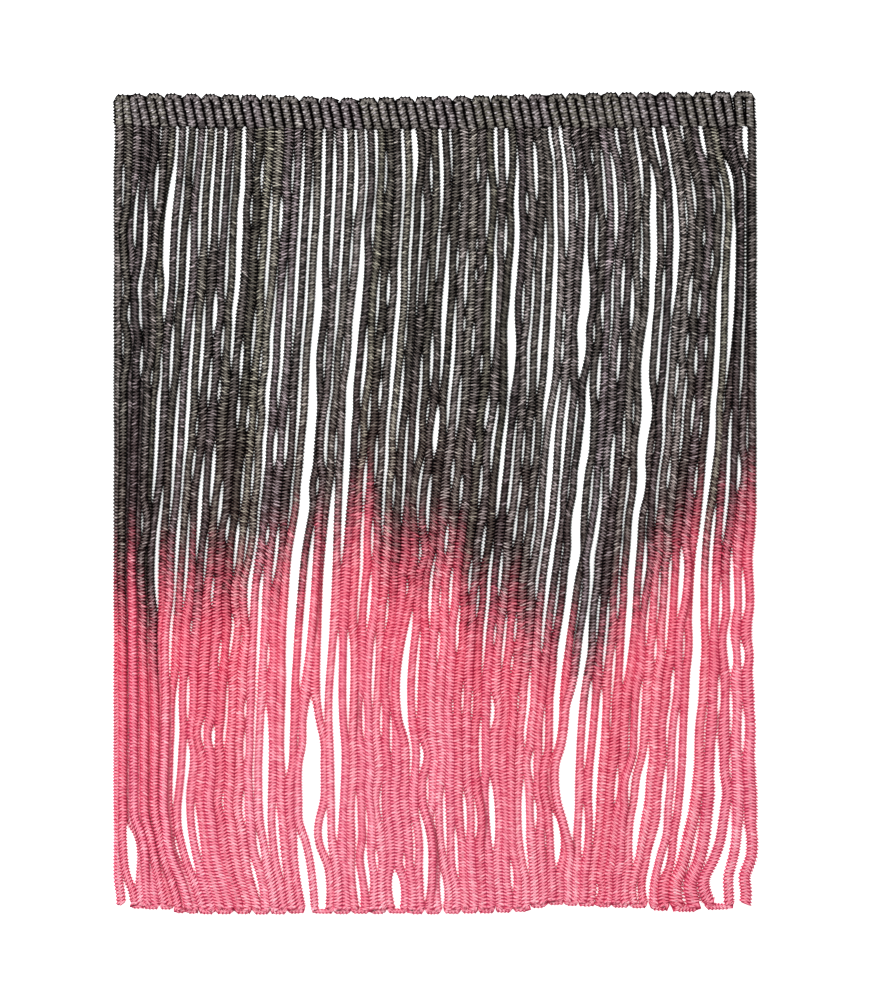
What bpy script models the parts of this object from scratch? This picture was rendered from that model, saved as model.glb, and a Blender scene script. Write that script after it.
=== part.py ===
"""Chainette fringe trim: a cut length lying flat, its heading towards +Y.

Metres, +Z up. The trim rests on the plane z = 0 and is centred on the origin.
The heading is one band of stitched-down chainette ribs. The fringe is the row
of legs below it, each rooted in the narrow strip where the legs leave the
heading. Tables give plain millimetres: across is measured from the left end,
down from the top of the heading.
"""

import math
import random
from collections import namedtuple

import bmesh
import bpy
import numpy as np

MM = 0.001

# The whole trim
WIDTH = 179.2 * MM
DROP = 230.0 * MM
LEGS = 68
PITCH = WIDTH / LEGS

# One leg of chainette, a soft knitted cord that lies slightly flattened
LEG_WIDTH = 2.6 * MM
LEG_THICKNESS = 1.15 * MM
LEG_TOP_SHARE = 0.62
TIP_SHARE = 0.5
TIP_LENGTH = 1.1 * MM
TIP_UNEVENNESS = 0.35 * MM
CLEARANCE = 0.3 * MM
CLOSEST_LEGS = 1.3 * MM

# The heading and the strip in which the legs are rooted
HEADING_THICKNESS = 2.2 * MM
HEADING_EDGE_HEIGHT = 1.25 * MM
GROOVE_DEPTH = 0.75 * MM
STITCH_PULL = 0.35 * MM
TOP_LOOP_RISE = 0.75 * MM
RIB_LEAN = math.radians(12.0)
UPRIGHT_END_RIBS = 3.0
ROOT_STRIP_DEPTH = 1.2 * MM

# How strongly a leg keeps to its own line, to its neighbour and to a gap's edge
HOME_PULL = 1.0
NEIGHBOUR_PULL = 12.0
GAP_PULL = 240.0
GAP_ROUNDNESS = 2.5

LEVELS_PER_LEG = 15
RANDOM_SEED = 7

# Top and lower edge of the heading along the trim
HeadingEdge = namedtuple("HeadingEdge", "across top bottom")
HEADING_EDGES = (
    HeadingEdge(0, 1.1, 9.2),
    HeadingEdge(11, 0.6, 9.4),
    HeadingEdge(45, 1.1, 10.1),
    HeadingEdge(67, 1.9, 10.3),
    HeadingEdge(101, 1.3, 10.1),
    HeadingEdge(140, 0.4, 9.7),
    HeadingEdge(162, 0.3, 9.5),
    HeadingEdge(179.2, 0.0, 9.5),
)

# Rows of the heading from top to bottom: share of its depth, and how far the
# binding stitches draw the ribs in there, from 0 between rows to 1 on a row
HeadingRow = namedtuple("HeadingRow", "share drawn_in")
HEADING_ROWS = (
    HeadingRow(0.16, 0.0),
    HeadingRow(0.33, 1.0),
    HeadingRow(0.44, 0.1),
    HeadingRow(0.55, 1.0),
    HeadingRow(0.66, 0.1),
    HeadingRow(0.77, 1.0),
    HeadingRow(0.89, 0.2),
)

# Across one rib: place within the rib and height, 0 in the groove, 1 on the crown
RibPoint = namedtuple("RibPoint", "share height")
RIB_PROFILE = (
    RibPoint(0.0, 0.0),
    RibPoint(0.3, 1.0),
    RibPoint(0.7, 0.95),
)

# Sideways drift of the lines between legs, plus to the right. A line is
# counted from the left end: line 7 has seven legs on its left.
FLOW_LINES = (0, 7, 11, 22, 26, 30, 42, 50, 56, 63, 68)
FlowRow = namedtuple("FlowRow", "down drifts")
FLOW = (
    FlowRow(10.9, (0, -0.8, -0.6, 0.6, 1.2, 1.0, 1.3, 1.3, 0.0, 0.0, 0)),
    FlowRow(20.4, (0, -1.9, -1.4, 0.4, 1.9, 1.6, 1.8, 2.4, 2.7, 3.1, 0)),
    FlowRow(34.4, (0, -3.6, -2.2, 0.0, 1.3, 1.5, 1.8, 3.2, 3.9, 4.1, 0)),
    FlowRow(58.2, (0, -4.6, -3.5, -1.4, -0.5, 0.2, 0.8, 2.9, 3.1, 2.9, 0)),
    FlowRow(77.8, (0, -5.6, -5.2, -2.4, -2.4, -1.5, 0.4, 1.5, 1.4, 2.0, 0)),
    FlowRow(97.4, (0, -6.6, -6.6, -3.8, -3.3, -2.9, -1.7, -0.6, 0.8, 0.3, 0)),
    FlowRow(117.0, (0, -7.7, -8.3, -5.5, -4.7, -4.0, -3.4, -1.5, -1.7, -1.3, 0)),
    FlowRow(132.4, (0, -8.1, -9.1, -7.7, -5.2, -4.6, -5.5, -3.4, -2.8, -2.6, 0)),
    FlowRow(150.6, (0, -8.1, -10.5, -9.1, -5.8, -6.0, -6.9, -5.9, -4.1, -3.3, 0)),
    FlowRow(167.4, (0, -7.8, -11.6, -9.7, -6.8, -7.1, -8.2, -8.0, -5.3, -3.6, 0)),
    FlowRow(187.0, (0, -7.8, -12.5, -10.1, -6.5, -6.8, -8.5, -9.1, -6.3, -5.0, 0)),
    FlowRow(202.4, (0, -8.1, -13.0, -9.8, -6.6, -6.5, -7.9, -8.7, -7.8, -6.1, 0)),
    FlowRow(215.0, (0, -5.9, -11.3, -9.0, -6.1, -6.2, -7.1, -8.3, -9.5, -9.5, 0)),
    FlowRow(227.6, (0, -1.4, -5.2, -6.4, -5.5, -4.8, -6.5, -8.3, -11.8, -11.1, 0)),
)

# The gaps that show between legs, each on one line, with how far it lies
# aside of that line's own drift
Gap = namedtuple("Gap", "line opens widest closes width aside")
GAPS = (
    Gap(2, 204, 213, 234, 1.7, 0.0),
    Gap(4, 24, 44, 68, 1.1, 0.0),
    Gap(7, 10, 43, 74, 2.2, 0.0),
    Gap(11, 161, 179, 209, 1.4, 0.0),
    Gap(12, 182, 200, 218, 1.7, 0.0),
    Gap(14, 10, 37, 74, 2.2, 0.0),
    Gap(18, 48, 86, 157, 1.4, -1.0),
    Gap(20, 170, 186, 211, 1.5, 0.0),
    Gap(22, 13, 114, 195, 2.8, 0.0),
    Gap(23, 118, 142, 170, 1.7, 0.7),
    Gap(23, 208, 219, 234, 2.6, 0.0),
    Gap(24, 169, 200, 216, 5.8, 0.3),
    Gap(24, 206, 222, 236, 2.3, 1.1),
    Gap(25, 112, 137, 180, 2.2, -0.8),
    Gap(26, 16, 71, 131, 2.4, 0.0),
    Gap(26, 156, 181, 211, 2.4, 0.0),
    Gap(32, 217, 223, 231, 2.8, 0.0),
    Gap(34, 142, 167, 185, 2.2, -1.2),
    Gap(35, 196, 215, 227, 1.7, 0.8),
    Gap(42, 14, 44, 110, 1.4, 0.0),
    Gap(42, 58, 69, 84, 3.4, 0.0),
    Gap(43, 192, 202, 214, 1.7, 0.0),
    Gap(46, 10, 86, 134, 1.5, 0.0),
    Gap(47, 79, 100, 144, 1.6, 0.0),
    Gap(48, 81, 120, 161, 1.6, 0.0),
    Gap(49, 20, 55, 82, 2.5, 0.0),
    Gap(50, 74, 120, 189, 3.1, 0.0),
    Gap(51, 200, 210, 217, 2.5, -2.5),
    Gap(52, 104, 128, 153, 1.5, 0.0),
    Gap(52, 151, 191, 212, 4.2, -1.2),
    Gap(54, 172, 188, 212, 1.7, 0.0),
    Gap(56, 20, 97, 163, 2.8, 0.0),
    Gap(59, 184, 202, 217, 2.0, -1.2),
    Gap(61, 187, 215, 230, 2.0, 0.0),
    Gap(63, 19, 55, 97, 1.7, 0.0),
    Gap(63, 86, 179, 221, 2.8, 0.0),
    Gap(64, 17, 47, 92, 1.7, 0.8),
    Gap(65, 181, 196, 219, 2.1, 0.8),
    Gap(66, 197, 220, 230, 3.4, 0.0),
    Gap(67, 204, 212, 223, 1.5, 0.0),
)

# How far down the legs reach along the trim
HemPoint = namedtuple("HemPoint", "across down")
HEM = (
    HemPoint(0, 228.0),
    HemPoint(12, 228.6),
    HemPoint(18, 229.6),
    HemPoint(92, 229.9),
    HemPoint(115, 229.3),
    HemPoint(120, 227.4),
    HemPoint(136, 227.9),
    HemPoint(158, 229.0),
    HemPoint(169, 227.9),
    HemPoint(179.2, 226.0),
)


def clear_scene():
    """Remove the objects of the start-up scene."""
    for item in list(bpy.data.objects):
        bpy.data.objects.remove(item, do_unlink=True)


def material(name, colour, roughness):
    """Return a plain dyed yarn material."""
    yarn = bpy.data.materials.new(name)
    yarn.use_nodes = True
    shader = yarn.node_tree.nodes["Principled BSDF"]
    shader.inputs["Base Color"].default_value = (*colour, 1.0)
    shader.inputs["Roughness"].default_value = roughness
    shader.inputs["Metallic"].default_value = 0.0
    yarn.diffuse_color = (*colour, 1.0)
    return yarn


def along(table, column, across):
    """Read one column of a table of places along the trim, in metres."""
    places = [row.across * MM for row in table]
    values = [getattr(row, column) * MM for row in table]
    return np.interp(across, places, values)


def line_places(down):
    """Return where the lines between legs lie, from the left end to the right."""
    downs = [row.down * MM for row in FLOW]
    drifts = [
        np.interp(down, downs, [row.drifts[column] * MM for row in FLOW])
        for column in range(len(FLOW_LINES))
    ]
    lines = np.arange(LEGS + 1)
    return lines * PITCH + np.interp(lines, FLOW_LINES, drifts)


def openness(gap, down):
    """Return how far a gap is open at one level, from 0 at its ends to 1."""
    widest = gap.widest * MM
    end = gap.opens * MM if down < widest else gap.closes * MM
    share = abs(down - widest) / abs(end - widest)
    return max(0.0, 1.0 - share ** GAP_ROUNDNESS)


def leg_centres(down):
    """Return the leg centres at one level, as a row of springs would rest.

    Each leg is drawn to its own line and to its neighbours' spacing, and the
    two legs beside a gap are held at its edges.
    """
    lines = line_places(down)
    home = (lines[:-1] + lines[1:]) / 2.0
    pull = np.eye(LEGS) * HOME_PULL
    load = HOME_PULL * home
    springs = [
        (left, home[left + 1] - home[left], NEIGHBOUR_PULL) for left in range(LEGS - 1)
    ]
    for gap in GAPS:
        share = openness(gap, down)
        if share > 0.0:
            left = gap.line - 1
            strength = GAP_PULL * share
            springs.append((left, LEG_WIDTH + gap.width * MM * share, strength))
            middle = lines[gap.line] + gap.aside * MM * share
            pull[left:left + 2, left:left + 2] += strength / 4.0
            load[left:left + 2] += strength / 2.0 * middle
    for left, apart, strength in springs:
        pull[left, left] += strength
        pull[left + 1, left + 1] += strength
        pull[left, left + 1] -= strength
        pull[left + 1, left] -= strength
        load[left] -= strength * apart
        load[left + 1] += strength * apart
    return keep_apart(np.linalg.solve(pull, load))


def keep_apart(centres):
    """Hold neighbouring legs apart, and the end legs inside the cut ends."""
    end_inset = CLOSEST_LEGS / 2.0
    centres[0] = max(centres[0], end_inset)
    for leg in range(1, LEGS):
        centres[leg] = max(centres[leg], centres[leg - 1] + CLOSEST_LEGS)
    centres[-1] = min(centres[-1], WIDTH - end_inset)
    for leg in range(LEGS - 2, -1, -1):
        centres[leg] = min(centres[leg], centres[leg + 1] - CLOSEST_LEGS)
    return centres


def leg_sides(down):
    """Return the left and right side of every leg at one level."""
    centres = leg_centres(down)
    half_gaps = (np.diff(centres) - CLEARANCE) / 2.0
    to_left = np.concatenate(([centres[0]], half_gaps))
    to_right = np.concatenate((half_gaps, [WIDTH - centres[-1]]))
    half = LEG_WIDTH / 2.0
    return centres - np.minimum(to_left, half), centres + np.minimum(to_right, half)


def new_object(name, shape, finish):
    """Turn a finished bmesh into an object with its material."""
    bmesh.ops.recalc_face_normals(shape, faces=shape.faces)
    mesh = bpy.data.meshes.new(name)
    shape.to_mesh(mesh)
    shape.free()
    mesh.materials.append(finish)
    item = bpy.data.objects.new(name, mesh)
    bpy.context.scene.collection.objects.link(item)
    return item


def heading_columns():
    """Return place across, height and loop share for each column of the ribs.

    Ribs stand in pairs: the chainette turns over in a small loop at the top
    of each pair. The loop share is 1 at the top of that loop, 0 between pairs.
    """
    lines = line_places(FLOW[0].down * MM)
    columns = []
    for rib in range(LEGS):
        for share, height in RIB_PROFILE:
            place = lines[rib] + share * (lines[rib + 1] - lines[rib])
            around = (rib % 2 + share) - 1.0
            columns.append((place, height, math.sqrt(1.0 - around ** 2)))
    columns.append((lines[LEGS], 0.0, 0.0))
    return columns


def heading_column(shape, place, height, loop):
    """Add the points of one column of the heading, from its top to its bottom."""
    top = along(HEADING_EDGES, "top", place) + TOP_LOOP_RISE * (1.0 - loop)
    bottom = along(HEADING_EDGES, "bottom", place)
    from_end = min(place, WIDTH - place) / (UPRIGHT_END_RIBS * PITCH)
    lean = math.tan(RIB_LEAN) * min(1.0, from_end)
    crown = HEADING_THICKNESS - GROOVE_DEPTH * (1.0 - height)
    rows = [(0.0, HEADING_EDGE_HEIGHT)]
    rows += [(row.share, crown - STITCH_PULL * row.drawn_in) for row in HEADING_ROWS]
    rows += [(1.0, HEADING_EDGE_HEIGHT)]
    points = []
    for share, raised in rows:
        down = top + share * (bottom - top)
        points.append(shape.verts.new((place - lean * (bottom - down), -down, raised)))
    return points


def make_heading(finish):
    """Build the ribbed band, flat below and ribbed above, with its top loops."""
    shape = bmesh.new()
    columns = [heading_column(shape, *column) for column in heading_columns()]
    upper_feet = [shape.verts.new((*column[0].co.xy, 0.0)) for column in columns]
    lower_feet = [shape.verts.new((*column[-1].co.xy, 0.0)) for column in columns]
    for here in range(len(columns) - 1):
        beyond = here + 1
        for row in range(len(HEADING_ROWS) + 1):
            shape.faces.new((columns[here][row], columns[beyond][row],
                             columns[beyond][row + 1], columns[here][row + 1]))
        shape.faces.new((upper_feet[here], upper_feet[beyond],
                         columns[beyond][0], columns[here][0]))
        shape.faces.new((lower_feet[here], lower_feet[beyond],
                         columns[beyond][-1], columns[here][-1]))
        shape.faces.new((upper_feet[here], upper_feet[beyond],
                         lower_feet[beyond], lower_feet[here]))
    for end in (0, -1):
        shape.faces.new((upper_feet[end], *columns[end], lower_feet[end]))
    return new_object("heading", shape, finish)


def leg_section(shape, left, right, down, share, top_share):
    """Add one four-cornered section of a leg, lower corners first."""
    middle = (left + right) / 2.0
    half = share * (right - left) / 2.0
    return [
        shape.verts.new((middle - half, -down, 0.0)),
        shape.verts.new((middle + half, -down, 0.0)),
        shape.verts.new((middle + half * top_share, -down, LEG_THICKNESS)),
        shape.verts.new((middle - half * top_share, -down, LEG_THICKNESS)),
    ]


def make_leg(shape, root, levels, lefts, rights, tip):
    """Add one leg from its root to its tip, and return its root section."""
    straight = np.linspace(root, tip - TIP_LENGTH, LEVELS_PER_LEG)
    sections = []
    for down in (*straight, tip):
        left = np.interp(down, levels, lefts)
        right = np.interp(down, levels, rights)
        share = TIP_SHARE if down == tip else 1.0
        top_share = LEG_TOP_SHARE if sections else 1.0
        sections.append(leg_section(shape, left, right, down, share, top_share))
    for upper, lower in zip(sections, sections[1:]):
        for corner in range(4):
            after = (corner + 1) % 4
            shape.faces.new((upper[corner], upper[after], lower[after], lower[corner]))
    shape.faces.new(sections[-1])
    return sections[0]


def add_root_strip(shape, root_sections):
    """Join the legs in a narrow strip that follows the heading's lower edge."""
    front_low = []
    front_high = []
    for low_left, low_right, high_right, high_left in root_sections:
        front_low += [low_left, low_right]
        front_high += [high_left, high_right]
    back_low = []
    back_high = []
    for vert in front_low:
        back = -along(HEADING_EDGES, "bottom", vert.co.x) - CLEARANCE
        back_low.append(shape.verts.new((vert.co.x, back, 0.0)))
        back_high.append(shape.verts.new((vert.co.x, back, LEG_THICKNESS)))
    for here in range(len(front_low) - 1):
        beyond = here + 1
        shape.faces.new((back_low[here], back_low[beyond], front_low[beyond], front_low[here]))
        shape.faces.new((back_high[here], back_high[beyond], front_high[beyond], front_high[here]))
        shape.faces.new((back_low[here], back_low[beyond], back_high[beyond], back_high[here]))
        between_legs = here % 2 == 1
        if between_legs:
            shape.faces.new((front_low[here], front_low[beyond],
                             front_high[beyond], front_high[here]))
    for end in (0, -1):
        shape.faces.new((back_low[end], front_low[end], front_high[end], back_high[end]))


def make_fringe(finish):
    """Build the legs, all rooted in the strip just below the heading."""
    chance = random.Random(RANDOM_SEED)
    shape = bmesh.new()
    levels = np.linspace(FLOW[0].down * MM, DROP, 2 * LEVELS_PER_LEG)
    sides = [leg_sides(down) for down in levels]
    root_sections = []
    for leg in range(LEGS):
        lefts = [left[leg] for left, _ in sides]
        rights = [right[leg] for _, right in sides]
        root = along(HEADING_EDGES, "bottom", lefts[0]) + CLEARANCE + ROOT_STRIP_DEPTH
        tip = along(HEM, "down", lefts[-1]) - TIP_UNEVENNESS * chance.random()
        root_sections.append(make_leg(shape, root, levels, lefts, rights, tip))
    add_root_strip(shape, root_sections)
    return new_object("fringe", shape, finish)


def centre_on_origin(items):
    """Move the meshes so that the whole trim is centred above the origin."""
    corners = np.array([vert.co for item in items for vert in item.data.vertices])
    middle = (corners.min(axis=0) + corners.max(axis=0)) / 2.0
    for item in items:
        for vert in item.data.vertices:
            vert.co.x -= middle[0]
            vert.co.y -= middle[1]


def main():
    """Build the trim."""
    clear_scene()
    charcoal = material("charcoal rayon chainette", (0.07, 0.05, 0.055), 0.6)
    coral = material("coral rayon chainette", (0.80, 0.09, 0.15), 0.55)
    centre_on_origin([make_heading(charcoal), make_fringe(coral)])


main()
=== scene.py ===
"""Chainette fringe trim, dip-dyed from charcoal to coral, lying flat on a white surface.

Metres, +Z up, +Y towards the heading. Tables give plain millimetres: across is
measured from the left end of the trim, down from the top of its heading.
"""

import math
import random
from collections import namedtuple

import bpy
import numpy as np
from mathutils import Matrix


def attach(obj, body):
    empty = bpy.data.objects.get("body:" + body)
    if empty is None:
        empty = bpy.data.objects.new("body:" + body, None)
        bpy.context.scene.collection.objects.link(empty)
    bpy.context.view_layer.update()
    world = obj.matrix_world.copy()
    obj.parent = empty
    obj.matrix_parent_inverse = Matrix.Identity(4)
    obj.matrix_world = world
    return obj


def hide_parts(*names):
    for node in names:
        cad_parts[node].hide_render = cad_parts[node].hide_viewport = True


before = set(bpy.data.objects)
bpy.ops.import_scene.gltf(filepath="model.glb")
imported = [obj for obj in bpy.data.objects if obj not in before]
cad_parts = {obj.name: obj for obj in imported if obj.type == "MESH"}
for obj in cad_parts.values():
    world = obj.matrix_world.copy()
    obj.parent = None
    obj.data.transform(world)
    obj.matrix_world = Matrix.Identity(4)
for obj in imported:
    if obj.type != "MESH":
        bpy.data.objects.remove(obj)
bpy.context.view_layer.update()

MM = 0.001
ORIGIN = (0.0, 0.0, 0.0)
RANDOM_SEED = 11

# The whole trim
WIDTH = 179.2 * MM
DROP = 230.0 * MM
LEGS = 68
PITCH = WIDTH / LEGS
MIDDLE_DOWN = 115.1 * MM
FRINGE_PIECES = 5

# One leg of chainette as it lies
LEG_WIDTH = 2.42 * MM
LEG_THICKNESS = 1.15 * MM
SLIMMEST_LEG = 1.95 * MM
FULLEST_LEG = 3.35 * MM
TOUCHING_OVERLAP = 0.15 * MM
CLOSEST_LEGS = 0.5 * MM
END_INSET = 0.4 * LEG_WIDTH

# A leg beside a gap lies slimmer than one that its neighbours meet, and
# slimmest, with the most room beside it, where it hangs straight from the heading
BareLeg = namedtuple("BareLeg", "down width room")
BARE_LEGS = (BareLeg(100, 1.83, 0.52), BareLeg(165, 1.94, 0.3))
BARE_FROM_GAP = 0.48 * MM

# Where legs overlap by this much or more, every second one rides up by this
# share of its thickness
FULL_LIFT_OVERLAP = 1.0 * MM
STACKED_LIFT = 0.9

# Slight waves along every leg: sideways, up and down, and as the cord rolls over
Wave = namedtuple("Wave", "size length")
SIDEWAYS_WAVES = (Wave(0.035 * MM, 9.0 * MM), Wave(0.035 * MM, 4.3 * MM))
RISING_WAVE = Wave(0.1 * MM, 13.0 * MM)
ROLLING_WAVES = (Wave(2.0, 31.0 * MM), Wave(0.9, 12.0 * MM))

# Each knitted course is two plump loops of yarn, half a course apart and one on
# each side of the cord, over the yarn that runs through its heart
COURSE = 0.93 * MM
Facets = namedtuple("Facets", "around along")
LOOP_FACETS = Facets(5, 3)
LEFT_LOOP_AT = 0.25
RIGHT_LOOP_AT = 0.75
LOOP_OVERLAP = 0.3 * MM
LOOP_GIRTH = 1.26 * MM
LOOP_PLUMPNESS = 1.15
LOOP_SLANT = 0.58
LOOP_POINT = 0.7 * LOOP_SLANT
LOOP_BLUNTNESS = 1.72
LOOP_SHOULDERS = 0.4
HEART_LENGTH = 1.04
HeartShares = namedtuple("HeartShares", "width height")
LEG_HEART = HeartShares(0.84, 0.45)
RIB_HEART = HeartShares(1.02, 0.6)

# Points of the left loop, the right loop and the heart of one course
POINTS_OF_PARTS = (12, 12, 8)

# The cord starts under the heading, and is drawn in where it turns at the hem
ROOT_UNDER_HEADING = 1.8 * MM
WIDTH_IN_TURN = 0.55
TURN_SPREAD = 0.4 * MM
TURN_DEPTH = 0.36 * LEG_WIDTH
TURN_STEPS = 13
TURN_SQUARENESS = 3.6
HEM_ALLOWANCE = 0.2 * MM
HEM_UNEVENNESS = 0.25 * MM

# How strongly a leg keeps to its own line, to its neighbour and to a gap's
# edge, and how round a gap's sides are
HOME_PULL = 1.0
NEIGHBOUR_PULL = 12.0
GAP_PULL = 240.0
GAP_ROUNDNESS = 2.0

# The legs are laid out level by level, then softened over these lengths by a
# bell-shaped average, which is cut off at this many times the length
BELL_CUT = 3.0
LEVEL_STEP = 1.0 * MM
LEVELS_ABOVE_FLOW = 2.0 * MM
LINE_SOFTNESS = 5.0 * MM
LEG_SOFTNESS = 1.5 * MM
WIDTH_SOFTNESS = 1.0 * MM
LIFT_SOFTNESS = 3.0 * MM

# The ribs of the heading
RIB_COURSE = 0.88 * MM
RIB_WIDTH = 2.66 * MM
RIB_HEIGHT = 1.9 * MM
RIB_LOOP_GIRTH = 1.2 * RIB_COURSE
RIB_FULLNESS = 1.04
RIB_LEAN = math.radians(12.0)
UPRIGHT_END_RIBS = 3.0
RIB_STEPS = 18
RIB_BELOW_EDGE = 0.3 * MM
RIB_FOOT_FROM = 0.9
RIB_FOOT_DIP = 0.15 * MM
RIB_DRAWN_IN = 0.3
RIB_TURN_SPREAD = 0.22 * MM
RIB_TURN_RISE = 0.65
RIB_TURN_SQUARENESS = 2.6
RIB_LOOP_SLANT = 0.3
RIB_LOOP_POINT = 0.3
RIB_TINTS = (-0.7, 0.6)

# The rows of binding stitches, as shares of the heading's depth, and how they
# draw a rib in
BINDING_SHARES = (0.30, 0.52, 0.74)
BINDING_REACH = 0.05
BINDING_DIP = 0.22 * MM
BINDING_SLIMMING = 0.05

# One binding stitch: its size, how its ends dive, and how unevenly it is sewn
STITCH_FACETS = Facets(8, 6)
STITCH_SIZE = (0.95 * MM, 0.5 * MM, 0.42 * MM)
STITCH_ENDS_FROM = 0.3 * MM
STITCH_ENDS_DIP = 0.25 * MM
STITCH_LIFT = 0.1 * MM
STITCH_PLACE = 0.3
STITCH_PLACE_SPREAD = 0.25
STITCH_ROW_SPREAD = 0.04
STITCH_TURN = 35.0

# Top and lower edge of the heading along the trim
HeadingEdge = namedtuple("HeadingEdge", "across top bottom")
HEADING_EDGES = (
    HeadingEdge(0, 1.1, 9.2), HeadingEdge(11, 0.6, 9.4), HeadingEdge(45, 1.1, 10.1),
    HeadingEdge(67, 1.9, 10.3), HeadingEdge(101, 1.3, 10.1), HeadingEdge(140, 0.4, 9.7),
    HeadingEdge(162, 0.3, 9.5), HeadingEdge(179.2, 0.0, 9.5),
)

# Sideways drift of the lines between legs, plus to the right. A line is
# counted from the left end: line 7 has seven legs on its left.
FlowRow = namedtuple("FlowRow", "down drifts")
FLOW_LINES = (0, 7, 11, 22, 26, 30, 42, 50, 56, 63, 68)
FLOW = (
    FlowRow(10.9, (0, -0.8, -0.6, 0.6, 1.2, 1.0, 1.3, 1.3, 0.0, 0.0, 0)),
    FlowRow(20.4, (0, -1.4, -1.4, 0.4, 1.9, 1.6, 1.8, 2.4, 2.7, 3.1, 0)),
    FlowRow(34.4, (0, -3.6, -2.2, 0.0, 1.3, 1.5, 1.8, 3.2, 3.9, 4.1, 0)),
    FlowRow(58.2, (0, -4.6, -3.5, -1.4, -0.5, 0.2, 0.8, 2.9, 3.1, 2.9, 0)),
    FlowRow(77.8, (0, -5.6, -5.2, -2.4, -2.4, -1.5, 0.4, 1.5, 1.4, 2.0, 0)),
    FlowRow(97.4, (0, -6.6, -6.6, -3.8, -3.3, -2.9, -1.7, -0.6, 0.8, 0.3, 0)),
    FlowRow(117.0, (0, -7.7, -8.3, -5.5, -4.7, -4.0, -3.4, -1.5, -1.7, -1.3, 0)),
    FlowRow(132.4, (0, -8.1, -9.1, -7.7, -5.2, -4.6, -5.5, -3.4, -2.8, -2.6, 0)),
    FlowRow(150.6, (0, -8.1, -10.5, -9.1, -5.8, -6.0, -6.9, -5.9, -4.1, -3.3, 0)),
    FlowRow(167.4, (0, -7.8, -11.6, -9.7, -6.8, -7.1, -8.2, -8.0, -5.3, -3.6, 0)),
    FlowRow(187.0, (0, -7.8, -12.5, -10.1, -6.5, -6.8, -8.5, -9.1, -6.3, -5.0, 0)),
    FlowRow(202.4, (0, -8.1, -13.0, -9.8, -6.6, -6.5, -7.9, -8.7, -7.8, -6.1, 0)),
    FlowRow(215.0, (0, -5.9, -11.3, -9.0, -6.1, -6.2, -7.1, -8.3, -9.5, -9.5, 0)),
    FlowRow(227.6, (0, -1.4, -5.2, -6.4, -5.5, -4.8, -6.5, -8.3, -11.8, -11.1, 0)),
)

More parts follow.
